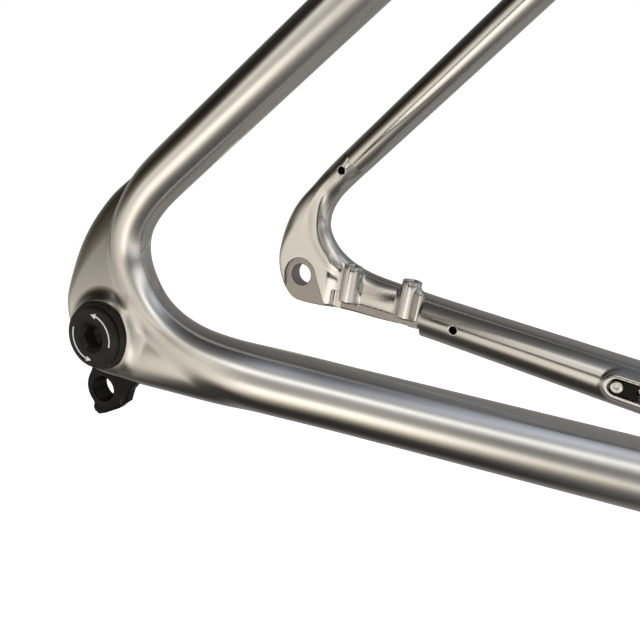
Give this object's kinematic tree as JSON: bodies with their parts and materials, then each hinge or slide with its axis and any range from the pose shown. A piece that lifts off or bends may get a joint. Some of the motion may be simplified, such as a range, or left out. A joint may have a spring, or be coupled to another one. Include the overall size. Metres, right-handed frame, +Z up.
{
  "type": "bicycle frame",
  "caption": "Welded bare-metal gravel bicycle frame with cast thru-axle dropouts, a swinging derailleur hanger, flat brake bosses and screwed cable ports.",
  "frame": {"origin": "centre of the bottom bracket shell, on its axis", "axes": "+X forward towards the head tube, +Y to the rider's left (the brake side), +Z up; the drive side is -Y"},
  "size_m": [0.8901, 0.175, 0.6087],
  "materials": {
    "brushed_titanium": "brushed raw metal, satin",
    "cast_dropout": "hand-polished casting with matte machined faces",
    "black_anodised": "black anodised",
    "derailleur_hanger": "black satin anodised",
    "hanger_bolt": "glossy black anodised",
    "hanger_washer": "glossy black anodised",
    "steel_fastener": "plain stainless steel"
  },
  "bodies": {
    "frame": {"bottom_bracket_shell": "brushed_titanium", "chainstay_bridge": "brushed_titanium", "chainstay_port_cover": "black_anodised", "chainstay_port_rim": "brushed_titanium", "chainstay_port_screw_front": "steel_fastener", "chainstay_port_screw_rear": "steel_fastener", "down_tube": "brushed_titanium", "down_tube_bolt_lower": "steel_fastener", "down_tube_bolt_upper": "steel_fastener", "down_tube_boss_lower": "brushed_titanium", "down_tube_boss_upper": "brushed_titanium", "down_tube_port_cover": "black_anodised", "down_tube_port_rim": "brushed_titanium", "down_tube_port_screw_front": "steel_fastener", "down_tube_port_screw_rear": "steel_fastener", "front_brake_boss": "brushed_titanium", "hanger_washer": "hanger_washer", "head_tube": "brushed_titanium", "left_chainstay": "brushed_titanium", "left_dropout": "cast_dropout", "left_seatstay": "brushed_titanium", "rear_brake_boss": "brushed_titanium", "right_chainstay": "brushed_titanium", "right_dropout": "cast_dropout", "right_seatstay": "brushed_titanium", "seat_collar": "black_anodised", "seat_collar_bolt": "steel_fastener", "seat_collar_nut": "steel_fastener", "seat_tube": "brushed_titanium", "seat_tube_bolt_lower": "steel_fastener", "seat_tube_bolt_upper": "steel_fastener", "seat_tube_boss_lower": "brushed_titanium", "seat_tube_boss_upper": "brushed_titanium", "seatstay_bridge": "brushed_titanium", "top_tube": "brushed_titanium"},
    "hanger": {"derailleur_hanger": "derailleur_hanger"},
    "hanger_bolt": {"hanger_bolt": "hanger_bolt"}
  },
  "joints": [
    {"name": "hanger_swing", "type": "hinge", "parent": "frame", "child": "hanger", "pos_m": [-0.4192, 0, 0.07], "axis": [0, 1, 0], "range_deg": [0, 60]},
    {"name": "hanger_bolt_turn", "type": "hinge", "parent": "hanger", "child": "hanger_bolt", "pos_m": [-0.4192, 0, 0.07], "axis": [0, -1, 0], "continuous": true}
  ]
}
